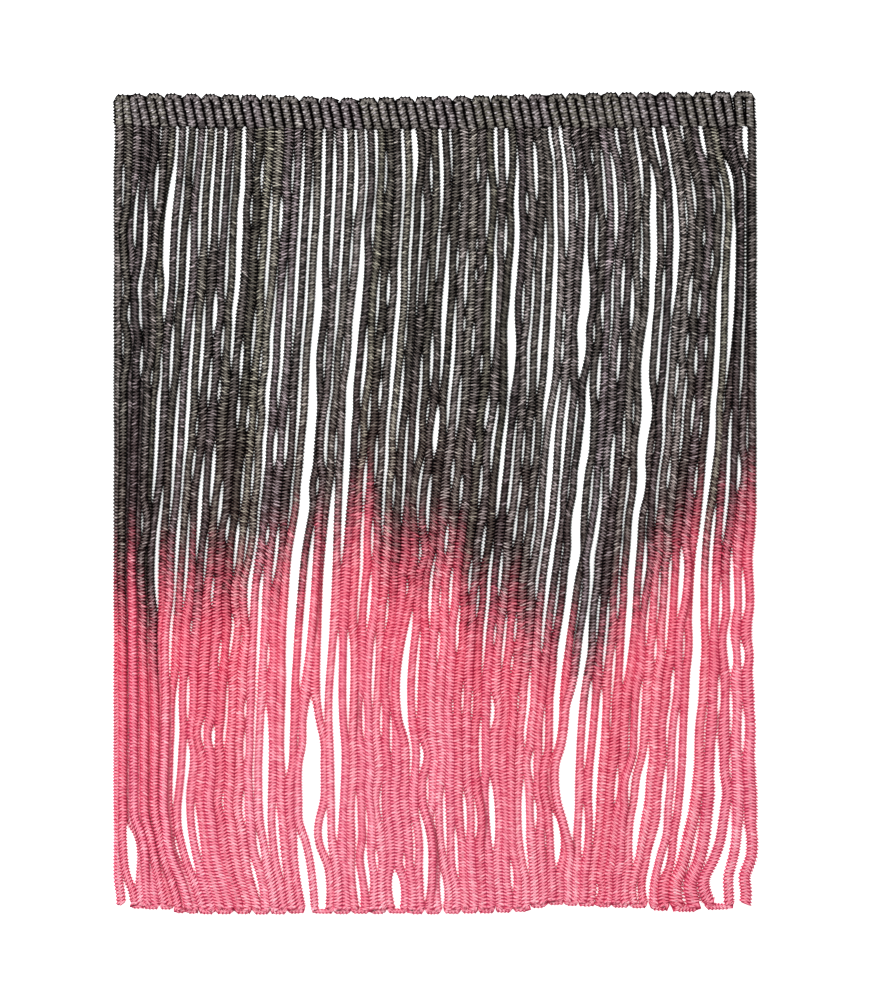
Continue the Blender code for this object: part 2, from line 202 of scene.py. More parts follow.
# The gaps that show between legs, by the line on which they lie. Each row has the
# levels where a gap opens, is widest and closes, its width, and how far it lies
# aside of its line's own drift. Those that open above 9 start under the heading.
Gap = namedtuple("Gap", "line opens widest closes width aside", defaults=(0.0,))
GAPS_BY_LINE = {
    1: ((19, 27, 36, 0.8, -0.2), (50, 56, 61, 0.6, 0.2), (64, 70, 79, 0.6, 0.2), (218, 227, 236, 1.4, 1.3)),
    2: ((57, 62, 68, 0.5), (204, 212, 224, 3.0, 1.3)),
    3: ((21, 38, 47, 0.6, -0.7),),
    4: ((24, 40, 53, 1.0), (46, 57, 69, 0.9, -1.2), (70, 76, 82, 0.6)),
    5: ((4, 12, 18, 0.4, 0.3), (115, 121, 127, 0.5)),
    6: ((49, 55, 59, 0.6), (76, 80, 84, 0.5, -0.4)),
    7: ((4, 14, 24, 0.7, 0.3), (12, 39, 66, 2.1, 0.4), (69, 92, 122, 0.9, -0.2)),
    8: ((4, 13, 24, 0.8), (16, 36, 66, 0.8), (62, 74, 87, 0.7), (106, 133, 148, 1.0, -1.2)),
    9: ((4, 15, 32, 0.6), (32, 47, 78, 0.8), (74, 98, 126, 0.8)),
    10: ((4, 25, 52, 0.8), (54, 88, 124, 0.9), (112, 124, 148, 1.0), (138, 153, 168, 0.8, -0.9)),
    11: ((4, 28, 48, 1.0), (55, 73, 89, 0.8), (90, 94, 98, 0.5), (98, 104, 111, 0.6), (112, 133, 147, 0.8),
        (161, 178, 204, 1.5, 0.6), (207, 212, 218, 0.8)),
    12: ((4, 27, 46, 1.0), (72, 81, 90, 0.6), (98, 116, 136, 0.9), (147, 150, 153, 0.6),
        (180, 187, 200, 1.3, 0.9), (190, 208, 221, 1.8)),
    13: ((79, 84, 89, 0.5), (121, 128, 144, 0.5, -0.3), (197, 206, 217, 0.9, 0.4)),
    14: ((4, 37, 74, 2.0, -1.1), (62, 70, 80, 0.6, -0.3), (134, 140, 145, 0.7, -0.5),
        (175, 178, 186, 0.7, -1.3)),
    15: ((13, 17, 25, 0.4), (27, 33, 39, 0.5, -0.4), (68, 76, 84, 0.6), (83, 89, 95, 0.6),
        (117, 122, 128, 0.6, -0.6), (152, 158, 163, 0.6), (177, 181, 185, 0.8, -0.9)),
    16: ((16, 23, 30, 0.5, -0.5), (39, 44, 49, 0.5), (58, 67, 80, 0.5), (87, 91, 97, 0.6),
        (96, 112, 118, 0.5), (145, 151, 161, 0.8, 0.8), (195, 199, 203, 0.6, -0.8)),
    17: ((23, 43, 66, 0.7, -0.4), (70, 76, 82, 0.6), (87, 92, 97, 0.5), (98, 108, 116, 0.5),
        (150, 153, 157, 0.5, 0.5)),
    18: ((28, 35, 43, 0.7), (46, 84, 135, 0.9, -1.1), (118, 136, 151, 0.9, -1.5),
        (169, 173, 177, 0.8, -0.8), (194, 201, 207, 0.8, -0.7), (214, 219, 228, 1.2)),
    19: ((14, 23, 31, 0.5), (43, 72, 91, 0.8, -0.5), (93, 100, 107, 0.6, -0.4), (121, 124, 128, 0.6, -0.3),
        (131, 152, 178, 0.9, -0.4), (168, 184, 200, 0.8, -0.5), (206, 212, 217, 1.0)),
    20: ((4, 45, 79, 0.8, -0.4), (86, 97, 106, 0.7, -0.2), (120, 129, 140, 0.7), (153, 158, 163, 0.6),
        (170, 188, 217, 1.9, -0.4)),
    21: ((8, 78, 114, 0.8, -0.3), (100, 112, 128, 0.6), (198, 209, 223, 1.0, -0.3)),
    22: ((6, 24, 42, 0.9), (13, 120, 195, 2.9, 0.3), (160, 182, 193, 1.8, 0.3)),
    23: ((4, 38, 57, 0.7), (118, 142, 170, 1.7, 1.0), (206, 219, 234, 2.6)),
    24: ((4, 18, 40, 0.8, 0.5), (16, 64, 101, 0.7, 0.1), (84, 96, 108, 0.8, -0.9), (169, 193, 215, 5.6),
        (206, 219, 236, 3.0, 1.0)),
    25: ((4, 20, 40, 0.8, 0.6), (36, 45, 57, 0.5, 0.2), (93, 99, 106, 0.5), (106, 140, 182, 2.5, -0.5),
        (199, 208, 216, 2.0, -1.0)),
    26: ((4, 20, 40, 0.7, 0.5), (26, 80, 136, 2.1, 0.2), (149, 182, 212, 2.2, 0.3)),
    27: ((4, 18, 32, 0.9, 0.7), (26, 37, 46, 0.6), (63, 77, 91, 1.1), (90, 97, 105, 0.5),
        (149, 166, 183, 1.4, 0.5)),
    28: ((13, 22, 32, 0.6), (47, 58, 71, 0.5, 0.2), (101, 109, 118, 0.7), (112, 134, 153, 0.9, 0.2),
        (194, 204, 215, 1.0, 0.5), (214, 222, 230, 1.1)),
    29: ((66, 72, 80, 0.6), (79, 84, 90, 0.6), (95, 101, 112, 0.6), (199, 204, 210, 0.7, 0.3),
        (209, 217, 226, 1.4, -0.3)),
    30: ((4, 22, 50, 0.9, 0.6), (20, 62, 135, 1.1, 0.4), (211, 215, 219, 1.0)),
    31: ((4, 17, 30, 1.6, 0.9), (18, 46, 66, 1.1, 0.2), (62, 68, 75, 0.5), (71, 88, 104, 0.8),
        (105, 111, 120, 0.5), (139, 147, 152, 0.6, 0.3), (192, 199, 207, 0.6, -0.7)),
    32: ((217, 223, 231, 2.8),),
    33: ((14, 23, 30, 0.5), (41, 52, 64, 0.6, -0.8), (136, 139, 143, 0.5, 0.4), (213, 216, 219, 0.8)),
    34: ((4, 20, 42, 0.9, 0.4), (34, 46, 56, 0.7, -0.3), (66, 75, 84, 0.7, -0.3), (85, 90, 96, 0.5, -0.3),
        (99, 110, 124, 0.6, -1.0), (125, 129, 134, 0.5, 0.7), (143, 166, 185, 2.2, -1.5),
        (178, 184, 195, 0.7, 0.8), (202, 211, 219, 0.8, 1.2)),
    35: ((4, 15, 30, 0.5, 0.3), (37, 58, 85, 1.3, -0.2), (87, 95, 103, 1.5, -0.3),
        (105, 116, 126, 0.8, -1.1), (148, 162, 178, 0.9, -0.6), (181, 186, 192, 1.2, 1.1),
        (199, 213, 229, 1.7, 1.2)),
    36: ((29, 32, 35, 0.5), (42, 47, 55, 0.5), (54, 77, 99, 0.9), (127, 140, 152, 0.8, -1.1)),
    37: ((41, 54, 62, 0.7), (62, 65, 69, 0.5), (77, 87, 99, 0.7), (102, 106, 112, 0.6),
        (120, 125, 131, 0.7, -0.3), (138, 142, 146, 0.5, -0.5), (199, 207, 217, 1.1, -0.9),
        (217, 224, 230, 1.2, 0.2)),
    38: ((40, 43, 46, 0.5), (48, 51, 55, 0.5), (64, 69, 76, 0.6), (106, 111, 118, 0.6),
        (131, 139, 148, 0.7, -0.4), (193, 206, 216, 1.1, -0.9)),
    39: ((44, 48, 52, 0.5), (73, 76, 80, 0.5), (96, 101, 105, 0.6), (169, 172, 175, 0.7, -0.3),
        (204, 215, 222, 0.9, -0.4)),
    40: ((4, 18, 29, 0.9), (30, 56, 80, 1.0), (102, 109, 118, 0.6), (129, 136, 143, 0.6, -0.5),
        (147, 150, 153, 0.5, -0.5), (195, 201, 211, 1.1, 0.4)),
    41: ((4, 17, 27, 1.2), (85, 96, 109, 0.8, -0.1), (119, 126, 133, 0.7, -0.3), (137, 143, 149, 0.6),
        (196, 204, 211, 0.8, 0.7)),
    42: ((12, 44, 96, 1.4), (56, 69, 86, 3.2), (84, 104, 122, 1.2), (124, 142, 168, 0.9, -0.2)),
    43: ((26, 31, 36, 0.5), (127, 135, 143, 0.7), (148, 152, 157, 0.6), (168, 174, 180, 1.1, 0.9),
        (191, 202, 214, 1.7, 0.2)),
    44: ((12, 21, 33, 0.9), (39, 43, 48, 0.5), (46, 66, 92, 0.9, -0.7)),
    45: ((33, 46, 62, 0.9), (52, 69, 87, 1.1, -0.8), (157, 160, 163, 0.8), (214, 220, 225, 0.9)),
    46: ((4, 12, 22, 0.8, -0.8), (12, 70, 112, 1.4, -0.4), (105, 119, 134, 0.7, -1.0),
        (167, 171, 175, 0.6)),
    47: ((4, 12, 18, 0.9, -1.0), (12, 28, 49, 1.1, 0.2), (78, 102, 134, 1.6, -0.6),
        (120, 134, 145, 0.7, -1.2), (160, 171, 184, 1.0), (174, 179, 185, 1.0, -0.8),
        (190, 203, 222, 1.2, -1.3)),
    48: ((13, 18, 24, 0.5), (22, 33, 39, 0.5), (79, 96, 112, 1.3, 0.2), (98, 128, 162, 1.2, -0.4),
        (183, 188, 195, 0.9, -1.1)),
    49: ((20, 32, 50, 0.9, 0.2), (38, 63, 82, 2.6), (124, 128, 133, 0.5, -0.3), (131, 142, 156, 1.0),
        (204, 209, 220, 0.5, 0.3)),
    50: ((15, 18, 22, 0.5, -0.3), (31, 40, 52, 0.6, -0.2), (74, 122, 189, 2.9), (158, 174, 187, 2.2),
        (200, 210, 218, 2.2, 0.2)),
    51: ((54, 62, 70, 0.7, -0.5), (71, 79, 89, 0.8, -0.3), (132, 143, 163, 0.8)),
    52: ((14, 28, 46, 1.0), (44, 58, 82, 0.5, -0.9), (102, 126, 150, 1.5, -0.5), (141, 157, 172, 1.9, 0.4),
        (158, 190, 211, 4.9, -2.4)),
    53: ((4, 14, 20, 0.7, -0.4), (21, 30, 38, 0.5), (45, 54, 64, 0.6, -0.3), (66, 76, 84, 0.6, -0.3),
        (138, 148, 156, 0.8, 0.2), (163, 175, 192, 1.3, 0.4), (198, 206, 216, 1.1)),
    54: ((38, 43, 48, 0.5), (70, 74, 78, 0.4), (166, 184, 215, 1.6, -0.4)),
    55: ((4, 19, 34, 0.8), (32, 45, 66, 0.7, -0.9), (84, 90, 97, 0.6), (154, 162, 173, 0.8),
        (170, 175, 181, 0.5), (221, 224, 227, 0.9, 1.0)),
    56: ((18, 42, 70, 2.3, -0.5), (40, 96, 163, 2.8), (78, 92, 106, 3.2), (118, 140, 168, 2.2, 0.2),
        (188, 195, 201, 1.0)),
    57: ((4, 15, 23, 0.9, 0.4), (114, 119, 125, 0.5), (122, 136, 149, 1.2, 0.4)),
    58: ((4, 14, 24, 1.0, 0.1), (16, 42, 66, 1.6, 0.8), (60, 92, 112, 0.9), (98, 107, 126, 0.6),
        (162, 178, 191, 1.0, -1.2), (184, 193, 202, 1.0, -2.2)),
    59: ((27, 34, 42, 0.5, 0.6), (74, 80, 88, 0.7, 0.5), (86, 92, 99, 0.5, 0.3), (101, 107, 113, 0.6),
        (131, 140, 153, 0.6, -0.3), (152, 157, 161, 0.8), (181, 201, 218, 2.2, -1.8)),
    60: ((4, 11, 16, 0.6), (21, 30, 37, 0.6, 0.5), (66, 70, 76, 0.6), (220, 224, 228, 1.0, -0.5)),
    61: ((37, 41, 45, 0.5, 0.6), (54, 59, 66, 0.5), (84, 90, 98, 0.7), (126, 135, 149, 1.3, 0.8),
        (160, 166, 174, 1.0, -0.6), (167, 176, 188, 0.8, -1.2), (186, 196, 207, 1.2, -1.0),
        (198, 212, 224, 2.2, -0.4), (215, 222, 228, 1.7, -2.2)),
    62: ((4, 14, 20, 0.9), (25, 29, 37, 0.6, 1.2), (43, 48, 53, 0.6, 1.0), (67, 71, 76, 0.6),
        (88, 94, 99, 0.5), (103, 109, 115, 0.6), (149, 155, 162, 0.8), (171, 184, 199, 1.2, -0.6),
        (194, 199, 206, 0.7, -0.8), (209, 216, 221, 1.6, -0.4)),
    63: ((19, 30, 52, 0.8, 1.3), (40, 72, 100, 1.6, 0.7), (62, 96, 128, 2.0, 0.8),
        (100, 178, 221, 2.9, -0.1)),
    64: ((17, 24, 36, 1.1, 1.0), (26, 54, 86, 1.7, 1.5), (83, 88, 93, 0.5, 0.9), (113, 134, 156, 1.0),
        (170, 178, 188, 0.7, -0.7)),
    65: ((83, 104, 131, 0.9, 0.9), (180, 198, 220, 2.3, 1.2)),
    66: ((16, 34, 104, 0.9, 1.3), (99, 107, 114, 0.7, 0.9), (126, 137, 149, 0.8, -0.6),
        (146, 156, 164, 1.2, -1.2), (165, 174, 182, 0.8, 0.5), (197, 208, 220, 1.4, 0.9),
        (208, 221, 230, 3.8, -2.6)),
    67: ((4, 14, 22, 1.5, -0.2), (83, 91, 103, 1.0, 0.9), (130, 143, 149, 0.6, 0.8),
        (153, 158, 163, 0.7, 0.8), (171, 179, 187, 1.0, 0.3), (204, 213, 221, 1.7, 2.2),
        (219, 224, 230, 1.6, 0.8)),
}
GAPS = tuple(Gap(line, *row) for line, rows in GAPS_BY_LINE.items() for row in rows)

# Hairline gaps open here and there where the legs aren't crowded, most of them
# high up, where the legs hang straightest
HAIRLINES_ON_A_LINE = 9
HAIRLINE_FROM = 14.0
HAIRLINE_TO = 220.0
HAIRLINE_LIKELIEST = 40.0
HAIRLINE_WIDTH = 0.72
HAIRLINE_WIDTHS = (0.7, 1.3)
HAIRLINE_REACH = 9.0
HAIRLINE_REACHES = (0.5, 1.5)
ROOM_FOR_HAIRLINE = 0.86

# The last five legs on the right have spread out flatter towards their ends
FullLegs = namedtuple("FullLegs", "first starts full_by more")
FULL_LEGS = FullLegs(63, 160, 185, 0.25)

# How far down the loops at the ends of the legs reach
Point = namedtuple("Point", "across down")
HEM = (
    Point(0, 228.8), Point(15, 228.9), Point(19, 230.1), Point(92, 230.2),
    Point(115, 229.5), Point(121, 227.6), Point(136, 228.2), Point(158, 229.2),
    Point(168, 228.9), Point(179.2, 227.6),
)

# The line to which the trim was dipped in the coral dye
DYE_LINE = (
    Point(0, 120), Point(5, 126), Point(10, 131), Point(15, 142), Point(20, 142),
    Point(25, 137), Point(32, 137), Point(47, 134), Point(51, 131), Point(56, 124),
    Point(62, 124), Point(66, 119), Point(71, 118), Point(74, 130), Point(80, 132),
    Point(86, 130), Point(91, 126), Point(96, 134), Point(101, 142), Point(107, 147),
    Point(114, 148), Point(120, 151), Point(127, 151), Point(133, 163), Point(138, 158),
    Point(141, 148), Point(146, 140), Point(151, 134), Point(158, 128), Point(163, 122),
    Point(168, 126), Point(172, 121), Point(179.2, 112),
)
DYE_BLEND = 37.0 * MM
DYE_UNEVENNESS = 5.0 * MM
DYE_SPECKLE = 0.3

# A faint coral cast crept up the legs above the line
DYE_CAST = 0.03
DYE_CAST_REACH = 55.0 * MM

# The coral pales towards the ends of the legs, but not equally along the trim
PALING_LENGTH = 75.0 * MM
PalingPoint = namedtuple("PalingPoint", "across share")
PALING = (
    PalingPoint(0, 0.9), PalingPoint(60, 0.9), PalingPoint(80, 1.15),
    PalingPoint(105, 0.95), PalingPoint(145, 0.6), PalingPoint(179.2, 0.85),
)

# Legs that stayed dark further down than their neighbours, placed where they
# cross one level near the dye line
DarkStreak = namedtuple("DarkStreak", "across further")
DARK_STREAKS = (
    DarkStreak(2.2, 20), DarkStreak(9.0, 31), DarkStreak(52.9, 9), DarkStreak(133.6, 5),
)
STREAK_WIDTH = 1.6 * MM
STREAK_LEVEL = 130.0 * MM

# How far legs and single loops stray from the middle shade
MIDDLE_SHADE = 0.5
LEG_SHADES = 0.09
LOOP_SHADES = 0.09

# Yarn colours from the deepest shade to the lightest, chosen by tone. Tone carries the yarn's own lighter
# and darker loops and also painted light, so the darkest colours mostly paint shade in the hollows and the
# lightest mostly paint highlights on the crests.
SHADES = (0.0, 0.25, 0.5, 0.75, 1.0)
CHARCOAL = ("#010101", "#080605", "#29221f", "#625852", "#dcd2cc")
LIGHTER_CHARCOAL = ("#030202", "#302c2a", "#6a6361", "#a09896", "#eae2e2")
CORAL = ("#b4223f", "#da4860", "#ea6077", "#f47d91", "#ffc0c8")
PALE_CORAL = ("#c43c5e", "#e66b84", "#f5869c", "#fca2b4", "#ffd4dc")
PALING_BY_TINT = 0.22

# The charcoal of a leg leans a little to olive or to mauve, as its tint says
CASTS = ((0.0, "#f6fce8"), (0.45, "#ffffff"), (1.0, "#f8ecff"))

# Where the two dyes meet, the mix follows each point's tone, painted light included: the crests of the
# loops, painted lighter, take more coral and the hollows, in painted shade, take less. These give what the
# darkest tone takes, and how much more the lightest takes.
SHADED_HOLLOW_TAKES = -1.1
LIT_CREST_TAKES_MORE = 2.4

# The yarn's filaments and mottle. Real filaments are too fine to show, so they
# are drawn this many to a course, about 0.1 mm apart, and long across the cord.
FILAMENTS = (2.0, 9.0, 1.0)
MOTTLE_SIZE = 0.5 * MM
GRAIN_SHADES = 0.12
FILAMENT_HEIGHT = 0.08 * MM
THREAD_TWIST = 0.4 * MM

# The colour sockets of a Mix node, whose names its other sockets share
COLOUR_A = 6
COLOUR_B = 7
MIXED_COLOUR = 2

# Painted light and shade on the yarn: how much a loop's colour is painted darker from its crest to its
# rims, on axis Y, and a cord's from its middle to its sides, on axis X, as painted shade. A least below
# zero paints the crest lighter, as a painted highlight.
RimShading = namedtuple("RimShading", "axis open_to deep_from least loss")
LEG_RIM_SHADING = (RimShading("Y", 0.0, 0.5, -0.35, 0.67), RimShading("X", 0.34, 0.5, 0.0, 0.45))
# On the ribs the painted shade at the sides is nearly black: it stands in for the shade in the grooves
# between ribs
RIB_RIM_SHADING = (RimShading("Y", 0.0, 0.5, -0.1, 0.25), RimShading("X", 0.28, 0.5, 0.0, 0.85))

# The camera stands straight above the trim, far enough off to look flat
CAMERA_HEIGHT = 1.2
PICTURE_HEIGHT = 280.0 * MM
PICTURE_MIDDLE = 0.7 * MM
SENSOR_LONG_SIDE = 36.0

# The white surface and the light on it
SURFACE_SIZE = 4.0
SURFACE_CLEARANCE = 0.02 * MM
SKY_STRENGTH = 0.42
Softbox = namedtuple("Softbox", "name place size watts")
SOFTBOXES = (
    Softbox("key softbox", (-0.6, 0.5, 0.65), 0.4, 10.8),
    Softbox("fill softbox", (0.7, -0.2, 0.9), 0.9, 4.3),
)


def along(table, column, across, unit=MM):
    """Read one column of a table of places along the trim, in metres unless told."""
    places = [row.across * MM for row in table]
    values = [getattr(row, column) * unit for row in table]
    return np.interp(across, places, values)


def smoothed(rows, spread):
    """Soften what changes from level to level with a bell-shaped average."""
    reach = math.ceil(BELL_CUT * spread / LEVEL_STEP)
    steps = np.arange(-reach, reach + 1) * LEVEL_STEP / spread
    weights = np.exp(-0.5 * steps ** 2)
    weights /= weights.sum()
    padded = np.pad(rows, ((reach, reach), (0, 0)), mode="edge")
    columns = [np.convolve(column, weights, mode="valid") for column in padded.T]
    return np.array(columns).T


def line_places(levels):
    """Return where the lines between legs lie, a row for each level."""
    downs = [row.down * MM for row in FLOW]
    numbers = np.arange(LEGS + 1)
    rows = []
    for level in levels:
        drifts = [
            np.interp(level, downs, [row.drifts[column] * MM for row in FLOW])
            for column in range(len(FLOW_LINES))
        ]
        rows.append(numbers * PITCH + np.interp(numbers, FLOW_LINES, drifts))
    return smoothed(np.array(rows), LINE_SOFTNESS)


def openness(gap, down):
    """Return how far a gap is open at one level, from 0 at its ends to 1."""
    widest = gap.widest * MM
    end = gap.opens * MM if down < widest else gap.closes * MM
    share = abs(down - widest) / abs(end - widest)
    return max(0.0, 1.0 - share ** GAP_ROUNDNESS)


def hairline_gaps(levels, lines):
    """Scatter hairline gaps over the lines, clear of known gaps and crowded places."""
    scatter = random.Random(RANDOM_SEED + 2)
    gaps = []
    for line in range(1, LEGS):
        for _ in range(HAIRLINES_ON_A_LINE):
            widest = scatter.triangular(HAIRLINE_FROM, HAIRLINE_TO, HAIRLINE_LIKELIEST)
            reach = HAIRLINE_REACH * scatter.uniform(*HAIRLINE_REACHES)
            width = HAIRLINE_WIDTH * scatter.uniform(*HAIRLINE_WIDTHS)
            beside = [np.interp(widest * MM, levels, lines[:, near]) for near in (line - 1, line + 1)]
            known = any(
                gap.line == line and gap.opens < widest + reach and gap.closes > widest - reach
                for gap in GAPS
            )
            if not known and beside[1] - beside[0] > 2.0 * ROOM_FOR_HAIRLINE * PITCH:
                gaps.append(Gap(line, widest - reach, widest, widest + reach, width))
    return gaps


def leg_fullness(levels):
    """Return how much fuller than usual each leg lies, a row for each level."""
    spread = (levels / MM - FULL_LEGS.starts) / (FULL_LEGS.full_by - FULL_LEGS.starts)
    fullness = np.ones((len(levels), LEGS))
    fullness[:, FULL_LEGS.first:] += FULL_LEGS.more * np.clip(spread, 0.0, 1.0)[:, None]
    return fullness


def leg_centres(gaps, lines, fullness, bare_widths, room, down):
    """Return the leg centres at one level, as a row of springs would rest.

    Each leg is drawn to its own line and to its neighbours' spacing, and the
    two legs beside a gap are held at its edges.
    """
    home = (lines[:-1] + lines[1:]) / 2.0
    pull = np.eye(LEGS) * HOME_PULL
    load = HOME_PULL * home
    springs = [
        (left, home[left + 1] - home[left], NEIGHBOUR_PULL) for left in range(LEGS - 1)
    ]
    for gap in gaps:
        share = openness(gap, down)
        if share > 0.0:
            left = gap.line - 1
            strength = GAP_PULL * share
            closed = LEG_WIDTH * fullness[left:left + 2].mean()
            opened = bare_widths[left:left + 2].mean() + gap.width * MM + room
            springs.append((left, closed + (opened - closed) * share, strength))

            # The middle of the pair is drawn to the middle of the gap
            middle = lines[gap.line] + gap.aside * MM * share
            pull[left:left + 2, left:left + 2] += strength / 4.0
            load[left:left + 2] += strength / 2.0 * middle
    for left, apart, strength in springs:
        pull[left, left] += strength
        pull[left + 1, left + 1] += strength
        pull[left, left + 1] -= strength
        pull[left + 1, left] -= strength
        load[left] -= strength * apart
        load[left + 1] += strength * apart
    return keep_apart(np.linalg.solve(pull, load))


def keep_apart(centres):
    """Hold neighbouring legs apart, and the end legs inside the cut ends."""
    centres[0] = max(centres[0], END_INSET)
    for leg in range(1, LEGS):
        centres[leg] = max(centres[leg], centres[leg - 1] + CLOSEST_LEGS)
    centres[-1] = min(centres[-1], WIDTH - END_INSET)
    for leg in range(LEGS - 2, -1, -1):
        centres[leg] = min(centres[leg], centres[leg + 1] - CLOSEST_LEGS)
    return centres


def gap_widths(gaps, levels):
    """Return how wide the gap on each line is, a row for each level."""
    widths = np.zeros((len(levels), LEGS + 1))
    for gap in gaps:
        for row, down in enumerate(levels):
            width = gap.width * MM * openness(gap, down)
            widths[row, gap.line] = max(widths[row, gap.line], width)
    return widths


def waves(kinds, travelled, phases):
    """Add up waves along a cord, each from its own phase."""
    return sum(
        wave.size * np.sin(travelled / wave.length + phase) for wave, phase in zip(kinds, phases)
    )


Lay = namedtuple("Lay", "levels middles widths lifts")


def lay_of_legs(chance):
    """Work out how every leg lies: its middle, width and lift at each level.

    Where no gap shows, a leg spreads until it meets its neighbour. Where the
    legs are crowded, every second one rides up on the two beside it.
    """
    first_level = FLOW[0].down * MM - LEVELS_ABOVE_FLOW
    levels = np.arange(first_level, DROP + LEVEL_STEP, LEVEL_STEP)
    lines = line_places(levels)
    gaps = GAPS + tuple(hairline_gaps(levels, lines))
    fullness = leg_fullness(levels)
    bare_downs = [row.down * MM for row in BARE_LEGS]
    bare_widths = np.interp(levels, bare_downs, [row.width * MM for row in BARE_LEGS])
    bare_widths = fullness * bare_widths[:, None]
    room = np.interp(levels, bare_downs, [row.room * MM for row in BARE_LEGS])
    centres = np.array([
        leg_centres(gaps, lines[row], fullness[row], bare_widths[row], room[row], down)
        for row, down in enumerate(levels)
    ])
    centres = smoothed(centres, LEG_SOFTNESS)
    spacing = np.diff(centres, axis=1)
    widths = gap_widths(gaps, levels)
    bare = smoothed(np.clip(widths / BARE_FROM_GAP, 0.0, 1.0), WIDTH_SOFTNESS)[:, 1:-1]
    touching = np.clip(spacing, SLIMMEST_LEG, FULLEST_LEG) / 2.0
    touching += TOUCHING_OVERLAP / 2.0
    ends = LEG_WIDTH / 2.0 * fullness
    right_half = touching * (1.0 - bare) + bare_widths[:, :-1] / 2.0 * bare
    left_half = touching * (1.0 - bare) + bare_widths[:, 1:] / 2.0 * bare
    to_left = np.hstack((ends[:, :1], left_half))
    to_right = np.hstack((right_half, ends[:, -1:]))
    crowding = (right_half + left_half - spacing - TOUCHING_OVERLAP) / FULL_LIFT_OVERLAP
    crowding = np.clip(crowding, 0.0, 1.0)
    none = np.zeros((len(levels), 1))
    crowding = np.maximum(np.hstack((none, crowding)), np.hstack((crowding, none)))
    crowding[:, ::2] = 0.0
    lifts = smoothed(crowding, LIFT_SOFTNESS) * LEG_THICKNESS * STACKED_LIFT
    for leg in range(LEGS):
        phases = [chance.uniform(0.0, math.tau) for _ in range(3)]
        centres[:, leg] += waves(SIDEWAYS_WAVES, levels, phases)
        lifts[:, leg] += RISING_WAVE.size + waves((RISING_WAVE,), levels, phases[2:])
    middles = centres + (to_right - to_left) / 2.0
    return Lay(levels, middles, to_left + to_right, lifts)


def new_object(name, data):
    """Put a new object into the scene and return it."""
    made = bpy.data.objects.new(name, data)
    bpy.context.scene.collection.objects.link(made)
    return made


def clear_selection():
    """Leave edit mode and deselect every object."""
    if bpy.context.object and bpy.context.object.mode != "OBJECT":
        bpy.ops.object.mode_set(mode="OBJECT")
    bpy.ops.object.select_all(action="DESELECT")


def select_only(items):
    """Select these objects and no others, with the first of them active."""
    clear_selection()
    for item in items:
        item.select_set(True)
    bpy.context.view_layer.objects.active = items[0]


def stretched_ball(facets, turned_about, size):
    """Model a ball laid on its side and stretched to a size."""
    clear_selection()
    bpy.ops.mesh.primitive_uv_sphere_add(
        segments=facets.around, ring_count=facets.along, radius=0.5, location=ORIGIN,
    )
    ball = bpy.context.object
    bpy.ops.object.mode_set(mode="EDIT")
    bpy.ops.mesh.select_all(action="SELECT")
    bpy.ops.transform.rotate(
        value=math.pi / 2.0, orient_axis=turned_about, center_override=ORIGIN,
    )
    bpy.ops.transform.resize(value=size, center_override=ORIGIN)
    bpy.ops.object.mode_set(mode="OBJECT")
    return ball


def yarn_loop(length, girth, height, shift):
    """Model one plump loop of yarn that lies crosswise, and return its object."""
    loop = stretched_ball(LOOP_FACETS, "X", (girth, length, height))
    for vert in loop.data.vertices:
        vert.select = abs(vert.co.y) < length * LOOP_SHOULDERS
    bpy.ops.object.mode_set(mode="EDIT")
    bpy.ops.transform.resize(value=(1.0, LOOP_BLUNTNESS, 1.0), center_override=ORIGIN)
    bpy.ops.mesh.select_all(action="SELECT")
    bpy.ops.transform.translate(value=shift)
    bpy.ops.object.mode_set(mode="OBJECT")
    return loop


def unroll(part, course_middle, course, width):
    """Map a part of a course: U across the cord, V along it from the part's own middle."""
    places = np.array([part.data.vertices[c.vertex_index].co for c in part.data.loops])
    across = places[:, 1] / width + 0.5
    length = (places[:, 0] - course_middle) / course + 0.5
    part.data.uv_layers.active.data.foreach_set("uv", np.column_stack((across, length)).ravel())


def course_of_stitches(name, course, width, height, girth, heart_shares):
    """Model one knitted course: a loop on each side, half a course apart, and its heart.

    The heart lies deep, so it is mapped as if it were past the rim of a loop, where its colour gets the
    full painted shade of a loop's rims.
    """
    length = width / 2.0 + LOOP_OVERLAP
    aside = width / 2.0 - length / 2.0
    left = yarn_loop(length, girth, height, (LEFT_LOOP_AT * course, -aside, 0.0))
    unroll(left, LEFT_LOOP_AT * course, course, width)
    right = yarn_loop(length, girth, height, (RIGHT_LOOP_AT * course, aside, 0.0))
    unroll(right, RIGHT_LOOP_AT * course, course, width)
    clear_selection()
    bpy.ops.mesh.primitive_cube_add(size=1.0, location=ORIGIN)
    heart = bpy.context.object
    bpy.ops.object.mode_set(mode="EDIT")
    bpy.ops.mesh.select_all(action="SELECT")
    bpy.ops.transform.resize(
        value=(HEART_LENGTH * course, heart_shares.width * width, heart_shares.height * height),
        center_override=ORIGIN,
    )
    bpy.ops.transform.translate(value=(0.5 * course, 0.0, 0.0))
    bpy.ops.object.mode_set(mode="OBJECT")
    # Mapped past a loop's rim, so the heart is painted in shade
    unroll(heart, 1.5 * course, course, width)
    select_only((left, right, heart))
    bpy.ops.object.join()
    bpy.ops.object.shade_smooth()
    left.name = name
    return left


def vertex_places(item):
    """Return the places of an object's points as an array."""
    places = np.empty(len(item.data.vertices) * 3)
    item.data.vertices.foreach_get("co", places)
    return places.reshape(-1, 3)


def set_places(item, places):
    """Move an object's points."""
    item.data.vertices.foreach_set("co", places.ravel())
    item.data.update()


